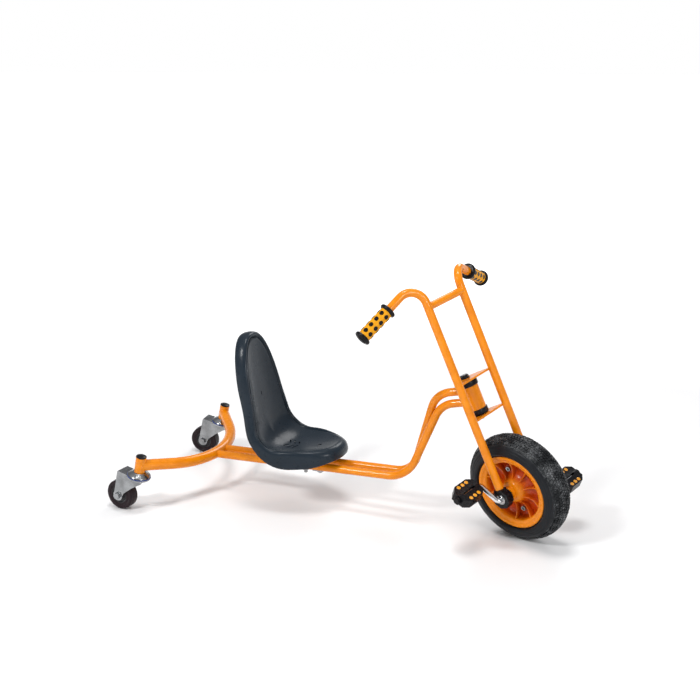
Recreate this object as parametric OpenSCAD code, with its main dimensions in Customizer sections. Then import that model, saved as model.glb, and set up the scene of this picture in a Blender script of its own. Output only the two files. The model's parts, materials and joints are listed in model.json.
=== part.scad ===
// Child's low tricycle with pedals on the front wheel, a bucket seat and two rear swivel castors.
// Millimetres, +X forward, +Y left, +Z up. The steering axis meets the ground at the origin.
// The front wheel is stored turned to the right, and both castors trail behind their stems.

/* [Steering] */
// Angle of the steering axis back from upright, in degrees
rake = 23.7; // [20:0.1:28]
// Steering angle the tricycle is stored at, in degrees, left is positive
steer_angle = -24; // [-45:1:45]
// Distance of the fork legs ahead of the steering axis
leg_ahead = 30; // [24:1:40]
// Distance of each fork leg from the middle
leg_half = 51.7; // [46:0.1:60]
// Diameter of the fork and handlebar tubes
leg_d = 16.5; // [14:0.5:20]
// Height along the steering axis where the legs start to bend outwards
bend_start = 516; // [490:1:540]
// Bend radius of the handlebar
bend_r = 32; // [25:1:45]
// Angle the handlebar turns through
bend_angle = 113; // [90:1:125]
// Direction of each handlebar end, in degrees from straight ahead
bar_sweep = 115; // [90:1:135]
// Length of straight bar after the bend
bar_length = 104; // [90:1:130]
// Height of the crossbar along the steering axis
crossbar_up = 508; // [470:1:520]

/* [Grips] */
// Length of one grip between its rings
grip_length = 70; // [60:1:90]
// Diameter of the grip sleeve
grip_d = 24; // [20:0.5:30]
// Diameter of the ring at each end of a grip
ring_d = 32.5; // [28:0.5:40]

/* [Front wheel] */
// Outside diameter of the front tyre
tyre_d = 225; // [200:1:260]
// Width of the front tyre
tyre_width = 67; // [50:1:75]
// Diameter of the rim's outer edge
rim_d = 154; // [130:1:170]
// Distance between the two outer edges of the rim
rim_width = 57.4; // [44:0.2:64]
// Number of ribs on each side of the rim
rib_count = 10; // [6:1:14]
// Crank length from axle to pedal spindle
crank_length = 50; // [40:1:80]
// Angle of the left crank from straight ahead, downwards
crank_angle = 51; // [-180:1:180]
// Diameter of the axle and cranks
crank_d = 10; // [8:0.5:14]
// Angle of both pedals from straight ahead, downwards
pedal_pitch = 45; // [-90:1:90]
// Pedal length along its spindle
pedal_length = 58; // [50:1:90]
// Pedal width front to back
pedal_width = 45; // [40:1:80]

/* [Frame] */
// Diameter of the two main tubes
main_d = 16.5; // [14:0.5:22]
// Distance of each main tube from the middle below the seat
main_half = 18; // [12:1:30]
// Height of the main tubes at their rear end
main_rear_up = 88; // [70:1:110]
// Rise of the main tubes towards the front, in degrees
main_rise = 1.4; // [0:0.1:4]
// Diameter of the rear axle tube
axle_tube_d = 24; // [20:1:30]
// Distance of each castor stem from the middle
stem_half = 176.8; // [150:0.1:220]
// Distance of the stem tops behind the origin
stem_back = 780; // [700:1:860]
// Lean of the castor stems, forwards at the top, in degrees
stem_lean = 12.5; // [0:0.5:20]

/* [Castors] */
// Diameter of a castor wheel
castor_wheel_d = 65; // [50:1:80]
// Width of a castor wheel
castor_wheel_width = 23; // [18:1:30]
// Distance from the stem top to the level of the wheel's axle
castor_drop = 106.5; // [90:0.5:125]
// Distance of the wheel's axle behind the swivel
castor_trail = 36; // [25:1:45]
// Swivel angle of the left castor
swivel_left = 6; // [-180:1:180]
// Swivel angle of the right castor
swivel_right = -5; // [-180:1:180]

/* [Seat] */
// Half of the seat's width at the hips
hip_half = 92; // [70:1:130]
// Half of the seat's width near the top of the back
back_half = 78; // [60:1:120]
// Depth of the dished inside
dish_depth = 11; // [5:1:25]
// Depth of the rolled edge around the seat
skirt = 30; // [12:1:40]
// Wall thickness of the seat
seat_wall = 4; // [3:0.5:6]
// Length of the flat part of the seat base
base_length = 112; // [90:1:160]
// Radius between base and back
seat_corner_r = 65; // [40:1:90]
// Length of the flat part of the back
back_length = 193; // [150:1:240]

/* [Hidden] */
$fn = 48;
orange = [0.96, 0.52, 0.05];
black = [0.06, 0.06, 0.07];
zinc = [0.72, 0.73, 0.74];
steel = [0.62, 0.63, 0.65];
tyre_half = tyre_width / 2;
tyre_r = tyre_d / 2;
axle_low = (tyre_r - tyre_half) * sqrt(1 - pow(sin(steer_angle) * sin(rake), 2)) + tyre_half;
axle_up = (axle_low - leg_ahead * cos(steer_angle) * sin(rake)) / cos(rake);
stem_up = castor_wheel_d / 2 + castor_drop * cos(stem_lean) - castor_trail * sin(stem_lean);
head_low = 282.5;
head_high = 330;
cup_height = 12;
plate = 4;
gap = 0.5;
grip_start = bar_length - grip_length;
spindle_start = leg_half + leg_d / 2 + 0.7;
crank_bend = 7;
pedal_start = spindle_start + 2 * crank_bend + 1.5;

module fork_frame() { rotate([0, -rake, 0]) rotate([0, 0, steer_angle]) children(); }
module wheel_frame() { fork_frame() translate([leg_ahead, 0, axle_up]) rotate([-90, 0, 0]) children(); }
module castor_frame(side) {
  translate([-stem_back, side * stem_half, stem_up]) rotate([0, stem_lean, 0]) children();
}
module swivel_frame(side) {
  castor_frame(side) rotate([0, 0, side > 0 ? swivel_left : swivel_right]) children();
}
module castor_wheel_frame(side) {
  swivel_frame(side) translate([-castor_trail, 0, -castor_drop]) rotate([-90, 0, 0]) children();
}
module side_flip(side) { if (side > 0) children(); else mirror([0, 1, 0]) children(); }

function unit(v) = v / norm(v);
function azimuth(d) = atan2(d[1], d[0]);
function polar(d) = acos(d[2] / norm(d));
function leg_of(points, i) = points[i + 1] - points[i];
function turn_at(points, i) = acos(unit(leg_of(points, i - 1)) * unit(leg_of(points, i)));
// Length that the bend at point i takes from the straight on each side of it
function cut_at(points, bends, i) =
  i == 0 || i == len(points) - 1 ? 0 : bends[i - 1] * tan(turn_at(points, i) / 2);
// Direction v after turning by an angle about an axis
function turned(v, axis, angle) =
  v * cos(angle) + cross(axis, v) * sin(angle) + axis * (axis * v) * (1 - cos(angle));
// Straight number i of a tube and all that follows it; side is the frame's +X in the tube's own space.
// Straights are a hair thicker than bends and lap over them, so that they join cleanly
module tube_rest(points, bends, r, bore, i, side) {
  d = unit(leg_of(points, i));
  length = norm(leg_of(points, i)) - cut_at(points, bends, i) - cut_at(points, bends, i + 1);
  lap = min(bends) < 10 ? 0.2 : 0.5;
  translate([0, 0, i == 0 ? 0 : -lap])
    ring(r + 0.02, bore > 0 ? bore - 0.02 : 0, length + (i == 0 ? 0 : lap) + (i < len(points) - 2 ? lap : 0));
  if (i < len(points) - 2) {
    e = unit(leg_of(points, i + 1));
    turn = turn_at(points, i + 1);
    way = atan2(e * cross(d, side), e * side);
    radius = bends[i];
    translate([0, 0, length]) rotate([0, 0, way]) {
      translate([radius, 0, 0]) rotate([90, 0, 180]) rotate_extrude(angle = turn, $fn = 96)
        translate([radius, 0]) difference() {
          circle(r = r, $fn = 48);
          if (bore > 0) circle(r = bore, $fn = 48);
        }
      translate([radius, 0, 0]) rotate([0, turn, 0]) translate([-radius, 0, 0]) rotate([0, 0, -way])
        tube_rest(points, bends, r, bore, i + 1, turned(side, unit(cross(d, e)), turn));
    }
  }
}
// Round tube through the given points, with a bend of the given radius at each inner point
module tube_through(points, bends, r, bore) {
  d = leg_of(points, 0);
  translate(points[0]) rotate([0, polar(d), azimuth(d)])
    tube_rest(points, bends, r, bore, 0,
      [cos(polar(d)) * cos(azimuth(d)), cos(polar(d)) * sin(azimuth(d)), -sin(polar(d))]);
}
module ring(outer, inner, height) {
  difference() {
    cylinder(h = height, r = outer);
    if (inner > 0) translate([0, 0, -1]) cylinder(h = height + 2, r = inner);
  }
}
module hex(across, height) { cylinder(h = height, d = across / cos(30), $fn = 6); }

// ---- fork and handlebar ----
bar_way = [sin(bend_angle) * cos(bar_sweep), sin(bend_angle) * sin(bar_sweep), cos(bend_angle)];
bend_cut = bend_r * tan(bend_angle / 2);
bar_corner = [leg_ahead, leg_half, bend_start + bend_cut];
module fork_leg(side) {
  color(orange) fork_frame() side_flip(side)
    tube_through([[leg_ahead, leg_half, axle_up + 12], bar_corner,
      bar_corner + bar_way * (bend_cut + bar_length - 2)], [bend_r], leg_d / 2, leg_d / 2 - 1.8);
}
module bar_end(side) {
  fork_frame() side_flip(side) translate(bar_corner + bar_way * bend_cut)
    rotate([0, bend_angle, bar_sweep]) children();
}
module fork_leg_left() { fork_leg(1); }
module fork_leg_right() { fork_leg(-1); }
module handlebar_crossbar() {
  color(orange) fork_frame() translate([leg_ahead, leg_half - 3, crossbar_up]) rotate([90, 0, 0])
    ring(7.5, 5.7, 2 * leg_half - 6);
}
module yoke(z) {
  color(orange) fork_frame() difference() {
    union() {
      translate([0, 0, z]) linear_extrude(plate) polygon([[leg_ahead - 3, leg_half - 4],
        [leg_ahead - 3, 4 - leg_half], [leg_ahead - 9, 4 - leg_half], [-8, -19.8], [-8, 19.8],
        [leg_ahead - 9, leg_half - 4]]);
      translate([0, 0, z]) cylinder(h = plate, r = 21.4);
    }
    translate([0, 0, z - 1]) cylinder(h = plate + 2, r = 6.05);
  }
}
module yoke_plate_upper() { yoke(head_high + cup_height + gap); }
module yoke_plate_lower() { yoke(head_low - cup_height - gap - plate); }
module king_bolt() {
  color(steel) fork_frame() {
    translate([0, 0, head_low - cup_height - gap - plate])
      cylinder(h = head_high - head_low + 2 * (cup_height + gap + plate) + 8, r = 6);
    translate([0, 0, head_low - cup_height - gap - plate - 6]) hex(19, 6);
  }
}
module king_nut() {
  color(black) fork_frame() translate([0, 0, head_high + cup_height + gap + plate + 0.1]) {
    ring(10.5, 6.05, 1.4);
    translate([0, 0, 1.5]) difference() {
      union() { hex(17, 4.5); cylinder(h = 6, r = 7.4); }
      translate([0, 0, -1]) cylinder(h = 9, r = 6.05);
    }
  }
}

// ---- grips ----
module grip(side) {
  color([0.98, 0.62, 0.05]) bar_end(side) translate([0, 0, grip_start + 4.1])
    ring(grip_d / 2, leg_d / 2 + 0.05, grip_length - 8.2);
}
module grip_left() { grip(1); }
module grip_right() { grip(-1); }
module grip_dots() {
  color(black) for (side = [1, -1]) bar_end(side) for (row = [0:3]) for (spot = [0:5])
    intersection() {
      translate([0, 0, grip_start]) ring(grip_d / 2 + 0.7, grip_d / 2 + 0.02, grip_length);
      translate([0, 0, grip_start + 13.2 + row * 14.6]) rotate([0, 0, spot * 60 + 50]) rotate([0, 90, 0])
        cylinder(h = 20, r = 4.3, $fn = 24);
    }
}
module grip_rings() {
  color(black) for (side = [1, -1]) bar_end(side) translate([0, 0, grip_start - 4]) difference() {
    rotate_extrude() union() {
      translate([leg_d / 2 + 0.1, 0.1]) square([ring_d / 2 - 3.9 - leg_d / 2, 7.8]);
      translate([ring_d / 2 - 3.9, 4]) circle(r = 3.9);
    }
  }
}
module grip_ends() {
  color(black) for (side = [1, -1]) bar_end(side) translate([0, 0, bar_length - 4]) {
    difference() {
      rotate_extrude() union() {
        square([ring_d / 2 - 4, 8]);
        translate([ring_d / 2 - 4, 4]) circle(r = 4);
        intersection() {
          translate([0, -22.4]) circle(r = 33);
          square([ring_d / 2 - 5, 12]);
        }
      }
      translate([0, 0, -1]) cylinder(h = 3.1, r = leg_d / 2 + 0.05);
    }
  }
}

// ---- front wheel ----
module axle_housing(side) {
  color(black) fork_frame() side_flip(side) difference() {
    union() {
      translate([leg_ahead, leg_half + 8.3, axle_up]) rotate([90, 22.5, 0]) cylinder(h = 16.6, r = 20, $fn = 8);
      translate([leg_ahead - 10, leg_half - 8.3, axle_up]) cube([20, 16.6, 20]);
    }
    translate([leg_ahead, leg_half + 9.3, axle_up]) rotate([90, 0, 0]) cylinder(h = 2.6, r = 10.1);
    translate([leg_ahead, leg_half + 20, axle_up]) rotate([90, 0, 0]) cylinder(h = 40, r = crank_d / 2 + 0.08);
    translate([leg_ahead, leg_half, axle_up + 12]) cylinder(h = 20, r = leg_d / 2 - 0.4);
  }
}
module axle_housing_left() { axle_housing(1); }
module axle_housing_right() { axle_housing(-1); }
// Washers let into the outer faces of the axle housings
module axle_washers() {
  color(zinc) for (side = [1, -1]) fork_frame() side_flip(side)
    translate([leg_ahead, leg_half + 8.3, axle_up]) rotate([90, 0, 0]) ring(10, crank_d / 2 + 0.09, 1.6);
}
module tyre_section(inset) {
  intersection() {
    translate([tyre_r - tyre_half, 0]) circle(r = tyre_half - inset, $fn = 72);
    translate([rim_d / 2 - 13, -tyre_half]) square([80, tyre_width]);
  }
}
module tyre() {
  color([0.09, 0.09, 0.1]) wheel_frame() rotate_extrude($fn = 96) difference() {
    tyre_section(0);
    tyre_section(5);
    translate([rim_d / 2 - 14, -rim_width / 2 + 5]) square([10, rim_width - 10]);
    for (side = [1, -1]) translate([tyre_r - 3, side * 11 - 1.6]) square([5, 3.2]);
    for (side = [1, -1]) translate([rim_d / 2 - 16, side > 0 ? rim_width / 2 - 5.2 : -rim_width / 2 - 8])
      square([17.5, 13.2]);
  }
}
module tube_section(inset, wall) {
  intersection() {
    tyre_section(inset + wall);
    union() {
      translate([rim_d / 2 + 1 + wall, -40]) square([60, 80]);
      translate([rim_d / 2 - 7 + wall, wall - 18]) square([20, 36 - 2 * wall]);
    }
  }
}
module inner_tube() {
  color(black) wheel_frame() difference() {
    rotate_extrude($fn = 96) difference() {
      tube_section(5.3, 0);
      tube_section(5.3, 2);
    }
    rotate([0, 0, 150]) rotate([0, 90, 0]) cylinder(h = 90, r = 3.9);
  }
}
// Section of one rim half, as radius and distance from the wheel's middle
module rim_section() {
  half = rim_width / 2;
  edge = rim_d / 2;
  polygon([[12, 0.1], [edge - 21, 0.1], [edge - 13.5, 3], [edge - 9, half - 9], [edge - 2, half - 5],
    [edge, half - 3.2], [edge, half - 1], [edge - 1.2, half], [edge - 5, half], [edge - 10, half - 4],
    [edge - 15.5, half - 7], [edge - 18, 6], [edge - 24, 4], [22, 4], [20, half - 4], [18, half], [12, half]]);
}
module rim_half(side) {
  color(orange) wheel_frame() mirror([0, 0, side > 0 ? 0 : 1]) difference() {
    union() {
      rotate_extrude($fn = 96) difference() {
        rim_section();
        square([crank_d / 2 + 0.05, 60]);
      }
      ring(13, crank_d / 2 + 0.05, rim_width / 2 + 6);
      for (i = [0:rib_count - 1]) rotate([0, 0, i * 360 / rib_count]) translate([0, 1.5, 0])
        rotate([90, 0, 0]) linear_extrude(3) polygon([[17, 2], [rim_d / 2 - 15, 2], [rim_d / 2 - 15, rim_width / 2 - 8],
          [rim_d / 2 - 26, rim_width / 2 - 14], [30, rim_width / 2 - 14], [17, rim_width / 2 - 6]]);
      for (a = [90, 270]) rotate([0, 0, a]) translate([43, 0, 0]) cylinder(h = 7, r = 7.5);
    }
    for (a = [90, 270]) rotate([0, 0, a]) translate([43, 0, -1]) cylinder(h = 20, r = 3.1);
    rotate([0, 0, 150]) rotate([0, 90, 0]) translate([0, 0, 30]) cylinder(h = 60, r = 4);
  }
}
module rim_left() { rim_half(1); }
module rim_right() { rim_half(-1); }
module rim_bolts() {
  color(zinc) wheel_frame() for (a = [90, 270]) rotate([0, 0, a]) translate([43, 0, -7]) {
    cylinder(h = 22, r = 3);
    difference() {
      translate([0, 0, -4.5]) cylinder(h = 4.5, r = 5);
      translate([0, 0, -5.6]) hex(5, 3.6);
    }
  }
}
module rim_nuts() {
  color(zinc) wheel_frame() for (a = [90, 270]) rotate([0, 0, a]) translate([43, 0, 7.1]) difference() {
    hex(10, 5);
    translate([0, 0, -1]) cylinder(h = 7, r = 3.02);
  }
}
module valve_stem() {
  color(black) wheel_frame() rotate([0, 0, 150]) rotate([0, 90, 0]) {
    translate([0, 0, 44]) cylinder(h = 25.5, r = 3.8);
    translate([0, 0, 38]) cylinder(h = 6.1, r = 3.8);
    translate([0, 0, 68.9]) cylinder(h = 1.2, r = 3.8);
  }
}
module crank_axle() {
  reach = crank_length * [cos(crank_angle), sin(crank_angle), 0];
  out = [0, 0, spindle_start + crank_bend];
  far = [0, 0, pedal_start + pedal_length + 3.4];
  color(steel) wheel_frame() tube_through([reach + far, reach + out, out, -out, -reach - out, -reach - far],
    [crank_bend, crank_bend, crank_bend, crank_bend], crank_d / 2, 0);
}
module pedal_frame(side) {
  wheel_frame() rotate([0, 0, crank_angle + (side > 0 ? 0 : 180)]) translate([crank_length, 0, 0])
    rotate([0, 0, pedal_pitch - crank_angle - (side > 0 ? 0 : 180)])
      mirror([0, 0, side > 0 ? 0 : 1]) translate([0, 0, pedal_start]) children();
}
module pedal_nuts() {
  color(black) for (side = [1, -1]) pedal_frame(side) translate([0, 0, pedal_length + 0.6]) difference() {
    union() { hex(15, 4); cylinder(h = 6, r = 6.5); }
    translate([0, 0, -1]) cylinder(h = 4, r = crank_d / 2 + 0.02);
  }
}
module pedal(side) {
  w = pedal_width / 2;
  thick = 19;
  color(black) pedal_frame(side) difference() {
    union() {
      translate([0, thick / 2, 0]) rotate([90, 0, 0]) linear_extrude(thick) polygon([[w - 9, 0], [w, 12],
        [w, pedal_length - 12], [w - 9, pedal_length], [9 - w, pedal_length], [-w, pedal_length - 12],
        [-w, 12], [9 - w, 0]]);
      cylinder(h = pedal_length, r = 10);
    }
    translate([0, 0, -1]) cylinder(h = pedal_length + 2, r = crank_d / 2 + 0.08);
    translate([-2.3, -20, 12]) cube([4.6, 40, pedal_length - 24]);
    for (x = [-1, 1]) for (y = [-1, 1]) for (i = [-1:1])
      translate([x * (w - 6.5), y * thick / 2, pedal_length / 2 + i * 11.5]) rotate([90, 0, 0])
        translate([0, 0, -1.5]) cylinder(h = 3, r = 4.2, $fn = 24);
  }
}
module pedal_left() { pedal(1); }
module pedal_right() { pedal(-1); }
module reflectors(side) {
  color([1, 0.7, 0.1]) pedal_frame(side) for (x = [-1, 1]) for (y = [-1, 1]) for (i = [-1:1])
    translate([x * (pedal_width / 2 - 6.5), y * 8.9, pedal_length / 2 + i * 11.5]) rotate([90, 0, 0])
      translate([0, 0, -0.85]) cylinder(h = 1.7, r = 4.1, $fn = 24);
}
module reflectors_left() { reflectors(1); }
module reflectors_right() { reflectors(-1); }

// ---- frame ----
module head_tube() {
  color(orange) rotate([0, -rake, 0]) translate([0, 0, head_low]) ring(20, 17, head_high - head_low);
}
module head_bush(flip) {
  color(black) rotate([0, -rake, 0]) translate([0, 0, flip ? head_low : head_high]) mirror([0, 0, flip ? 1 : 0])
    difference() {
      rotate_extrude() polygon([[6.06, -12], [16.9, -12], [16.9, 0.1], [21.5, 0.1], [21.9, 1.5],
        [21.9, cup_height - 2], [20.4, cup_height], [6.06, cup_height]]);
    }
}
module head_bush_upper() { head_bush(false); }
module head_bush_lower() { head_bush(true); }

// The left tube joins the head high up; the right one runs inside it and joins lower down
module main_tube(points, bends) {
  color(orange) difference() {
    tube_through(points, bends, main_d / 2, main_d / 2 - 1.8);
    rotate([0, -rake, 0]) translate([0, 0, 200]) cylinder(h = 200, r = 18.5);
    rotate([0, -rake, 0]) translate([0, 0, head_high]) cylinder(h = 60, r = 22.3);
  }
}
main_rear = 90.5 - stem_back;
corner_up = main_rear_up - 2.8 + (-250 - main_rear) * tan(main_rise);
module main_tube_left() {
  main_tube([[main_rear, main_half, main_rear_up - 2.8], [-250, main_half, corner_up], [-198, 2, 278.5],
    [-128.7, 2, 293.2]], [50, 50]);
}
module main_tube_right() {
  main_tube([[main_rear, -main_half, main_rear_up - 2.8], [-250, -main_half, corner_up], [-186, -2, 258],
    [-119.5, -2, 272.1]], [64, 48]);
}
module rear_axle_tube() {
  color(orange) castor_frame(0) translate([0, 0, -24]) difference() {
    tube_through([[0, stem_half, 0], [stem_half * tan(40), 0, 0], [0, -stem_half, 0]], [195],
      axle_tube_d / 2, axle_tube_d / 2 - 2);
    for (side = [1, -1]) translate([0, side * stem_half, -20]) cylinder(h = 40, r = 10.2);
  }
}
module castor_stem(side) {
  color(orange) castor_frame(side) translate([0, 0, -38.5]) ring(11, 9.2, 34);
}
module castor_stem_left() { castor_stem(1); }
module castor_stem_right() { castor_stem(-1); }
module stem_caps() {
  color(black) for (side = [1, -1]) castor_frame(side) {
    translate([0, 0, -12]) cylinder(h = 7.6, r = 9.1);
    intersection() {
      translate([0, 0, -4.5]) cylinder(h = 4, r = 11);
      translate([0, 0, -32]) sphere(r = 31.5);
    }
  }
}
module castor_race(side) {
  color(zinc) castor_frame(side) difference() {
    rotate_extrude() polygon([[6.1, -38.6], [13, -38.6], [14.5, -40], [22.5, -44.5],
      [24, -46.8], [6.1, -46.8]]);
  }
}
module castor_race_left() { castor_race(1); }
module castor_race_right() { castor_race(-1); }
module castor_kingpins() {
  color(zinc) for (side = [1, -1]) castor_frame(side) {
    translate([0, 0, -60]) cylinder(h = 36, r = 6);
    translate([0, 0, -62]) hex(17, 7.5);
  }
}
module castor_seal(side) {
  color([0.05, 0.13, 0.45]) swivel_frame(side) translate([0, 0, -49.2]) ring(24.6, 20.5, 2.1);
}
module castor_seal_left() { castor_seal(1); }
module castor_seal_right() { castor_seal(-1); }
module castor_cheek() {
  linear_extrude(2.4) difference() {
    union() {
      polygon([[-18, 57], [-20, 51.5], [41, 49.2], [44.5, 52], [46, 107], [26, 108], [22, 96],
        [4, 76], [-10, 64]]);
      translate([castor_trail, castor_drop]) circle(r = 11.2);
    }
    translate([castor_trail, castor_drop]) circle(r = 4.05);
  }
}
module castor_fork(side) {
  color(zinc) swivel_frame(side) difference() {
    union() {
      for (s = [0, 1]) mirror([0, s, 0]) translate([0, 16, 0]) rotate([90, 0, 0]) mirror([1, 0, 0])
        mirror([0, 1, 0]) castor_cheek();
      translate([-43, -16, -52]) cube([45, 32, 2.6]);
      translate([0, 0, -52]) cylinder(h = 2.6, r = 24.4);
      translate([-44, -16, -66]) cube([2.6, 32, 16.2]);
    }
    translate([0, 0, -53]) cylinder(h = 6, r = 6.1);
  }
}
module castor_fork_left() { castor_fork(1); }
module castor_fork_right() { castor_fork(-1); }
module castor_axle(side) {
  color(zinc) castor_wheel_frame(side) {
    translate([0, 0, -16.1]) cylinder(h = 38, r = 4);
    translate([0, 0, -21.6]) hex(13, 5.5);
    translate([0, 0, 16.1]) hex(13, 5);
  }
}
module castor_axle_left() { castor_axle(1); }
module castor_axle_right() { castor_axle(-1); }
module castor_tyre(side) {
  w = castor_wheel_width / 2;
  r = castor_wheel_d / 2;
  color([0.1, 0.07, 0.08]) castor_wheel_frame(side) rotate_extrude($fn = 72) difference() {
    union() {
      translate([19, 3 - w]) square([r - 22, 2 * w - 6]);
      intersection() {
        translate([r - 60, 0]) circle(r = 60, $fn = 160);
        translate([19, 3.2 - w]) square([20, 2 * w - 6.4]);
      }
      translate([19, -w]) square([r - 22.5, 2 * w]);
      for (s = [1, -1]) translate([r - 3.6, s * (w - 3.2)]) circle(r = 3.2);
    }
    for (s = [1, -1]) translate([22.5, s * w - 0.8]) square([1.2, 1.6]);
  }
}
module castor_tyre_left() { castor_tyre(1); }
module castor_tyre_right() { castor_tyre(-1); }
module castor_hub(side) {
  color([0.3, 0.3, 0.32]) castor_wheel_frame(side) rotate_extrude()
    polygon([[4.08, -13.2], [7.5, -13.2], [8.5, -8], [16, -8], [17, -10.5], [18.95, -10.5], [18.95, 10.5],
      [17, 10.5], [16, 8], [8.5, 8], [7.5, 13.2], [4.08, 13.2]]);
}
module castor_hub_left() { castor_hub(1); }
module castor_hub_right() { castor_hub(-1); }

// ---- seat ----
base_rise = 4.5;
back_lean = 12;
seat_turn = 90 + base_rise - back_lean;
seat_front = [-396, 134];
seat_total = base_length + seat_corner_r * seat_turn * PI / 180 + back_length;
// Point on the middle line of the seat, s measured from the front edge
function seat_point(s) =
  let (arc = seat_corner_r * seat_turn * PI / 180,
    p1 = seat_front + base_length * [-cos(base_rise), -sin(base_rise)],
    c = p1 + seat_corner_r * [-sin(base_rise), cos(base_rise)],
    a = min(max((s - base_length) / arc, 0), 1) * seat_turn,
    q = c + seat_corner_r * [-sin(a - base_rise), -cos(a - base_rise)],
    over = max(s - base_length - arc, 0))
  s < base_length ? seat_front + s * [-cos(base_rise), -sin(base_rise)]
  : q + over * [-sin(back_lean), cos(back_lean)];
// Direction towards the sitter at s
function seat_normal(s) =
  let (a = min(max((s - base_length) / (seat_corner_r * seat_turn * PI / 180), 0), 1) * seat_turn)
  [sin(a - base_rise), cos(a - base_rise)];
function smooth(t) = let (u = min(max(t, 0), 1)) u * u * (3 - 2 * u);
function half_width(s) = hip_half + (back_half - hip_half) * smooth((s - 150) / 120);
function sign_pow(v, p) = sign(v) * pow(abs(v), p);
// Rim outline as [y, s] at an angle around the seat
function outline(a) =
  let (s = seat_total / 2 - seat_total / 2 * sign_pow(cos(a), 0.86))
  [half_width(s) * sign_pow(sin(a), a > 90 && a < 270 ? 0.84 : 0.78), s];
function outward(a) = let (d = outline(a + 1) - outline(a - 1), n = norm(d)) [d[1] / n, -d[0] / n];
// Share of the full edge depth at s: deep under the hips, shallow round the corner
function edge_share(s) = 0.9 + 0.3 * smooth(s / 60) - 0.57 * smooth((s - 95) / 85) + 0.13 * smooth((s - 220) / 90);
// One ring of points: fill scales the outline, out and up move it outwards and towards the sitter
function seat_ring(fill, out, up) = [for (i = [0:63]) let (a = i * 360 / 64 + 2.8,
    p = outline(a), o = outward(a), c = [0, seat_total * 0.42], e = c + (p - c + out * o) * fill,
    lift = dish_depth * pow(min(fill, 1), 3) + (up < -8 ? up * edge_share(e[1]) : up), m = seat_point(e[1]), n = seat_normal(e[1]))
  [m[0] + n[0] * lift, e[0], m[1] + n[1] * lift]];
module seat_body() {
  t = seat_wall;
  rings = concat(
    [for (f = [0.1, 0.3, 0.5, 0.66, 0.8, 0.9]) seat_ring(f, -14, 0)],
    [seat_ring(1, -14, 0), seat_ring(1, -12.5, -1.6), seat_ring(1, -11, 0), seat_ring(1, -8, 2.4),
      seat_ring(1, -4.5, 1.8), seat_ring(1, -1.8, -2), seat_ring(1, -0.4, -7), seat_ring(1, 0, -0.55 * skirt),
      seat_ring(1, -1.6, -skirt), seat_ring(1, -4.8, -skirt), seat_ring(1, -3.8, -0.55 * skirt),
      seat_ring(1, -5, -6), seat_ring(1, -9, -t), seat_ring(1, -14, -t - 0.6)],
    [for (f = [0.9, 0.75, 0.5, 0.25]) seat_ring(f, -14, -t)]);
  count = len(rings);
  middles = count * 64;
  last = middles - 64;
  points = concat([for (r = rings) each r], [seat_ring(0, 0, 0)[0], seat_ring(0, 0, -t)[0]]);
  faces = concat(
    [for (k = [0:count - 2]) for (i = [0:63]) let (j = (i + 1) % 64) each
      [[k * 64 + i, k * 64 + j, (k + 1) * 64 + j], [k * 64 + i, (k + 1) * 64 + j, (k + 1) * 64 + i]]],
    [for (i = [0:63]) let (j = (i + 1) % 64) each [[middles, j, i], [middles + 1, last + i, last + j]]]);
  polyhedron(points = points, faces = faces, convexity = 8);
}
module seat_shell() {
  color([0.12, 0.13, 0.15]) difference() {
    seat_body();
    for (x = [-453, -487]) translate([x, 0, 90]) cylinder(h = 60, r = 4.2, $fn = 16);
  }
}
// Sleeves around the bolts, cut to the slope of the seat's underside
module seat_spacers() {
  color(black) for (x = [-453, -487]) difference() {
    translate([x, 0, 107.05]) cylinder(h = 30, r = 11);
    translate([x, 0, 100]) cylinder(h = 60, r = 4.2);
    translate([x, 0, x < -470 ? 124.1 : 129.5]) rotate([0, -9, 0]) translate([-20, -20, 0]) cube(40);
  }
}
module seat_bracket() {
  color(orange) difference() {
    translate([-506, -34, 103]) cube([72, 68, 4]);
    for (x = [-453, -487]) translate([x, 0, 100]) cylinder(h = 10, r = 4.2);
  }
}
module seat_clamp_plates() {
  color(zinc) for (x = [-453, -487]) difference() {
    translate([x - 9, -21, 81]) cube([18, 42, 3.4]);
    translate([x, 0, 76]) cylinder(h = 10, r = 4.2);
  }
}
module seat_bolts() {
  color(zinc) for (x = [-453, -487]) {
    translate([x, 0, x < -470 ? 66 : 70]) cylinder(h = x < -470 ? 59.5 : 61, r = 3.9);
    translate([x, 0, x < -470 ? 125.2 : 130.6]) cylinder(h = 1.8, r = 6.5);
  }
}
module seat_nuts() {
  color(zinc) for (x = [-453, -487]) translate([x, 0, 72.6]) difference() {
    union() { hex(13, 6.6); translate([0, 0, 6.5]) cylinder(h = 1.7, r = 9); }
    translate([0, 0, -1]) cylinder(h = 12, r = 3.95);
  }
}

rear_axle_tube();
castor_stem_left();
castor_stem_right();
stem_caps();
main_tube_left();
main_tube_right();
head_tube();
head_bush_upper();
head_bush_lower();
seat_bracket();
seat_clamp_plates();
seat_bolts();
seat_nuts();
seat_shell();
seat_spacers();
castor_race_left();
castor_race_right();
castor_kingpins();
fork_leg_left();
fork_leg_right();
handlebar_crossbar();
yoke_plate_upper();
yoke_plate_lower();
king_bolt();
king_nut();
grip_left();
grip_right();
grip_dots();
grip_rings();
grip_ends();
axle_housing_left();
axle_housing_right();
axle_washers();
tyre();
inner_tube();
rim_left();
rim_right();
rim_bolts();
rim_nuts();
valve_stem();
crank_axle();
pedal_nuts();
pedal_left();
pedal_right();
reflectors_left();
reflectors_right();
castor_fork_left();
castor_fork_right();
castor_seal_left();
castor_seal_right();
castor_axle_left();
castor_axle_right();
castor_tyre_left();
castor_tyre_right();
castor_hub_left();
castor_hub_right();
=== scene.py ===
import json
import math
import random

import bmesh
import bpy
from mathutils import Matrix, Vector

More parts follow.
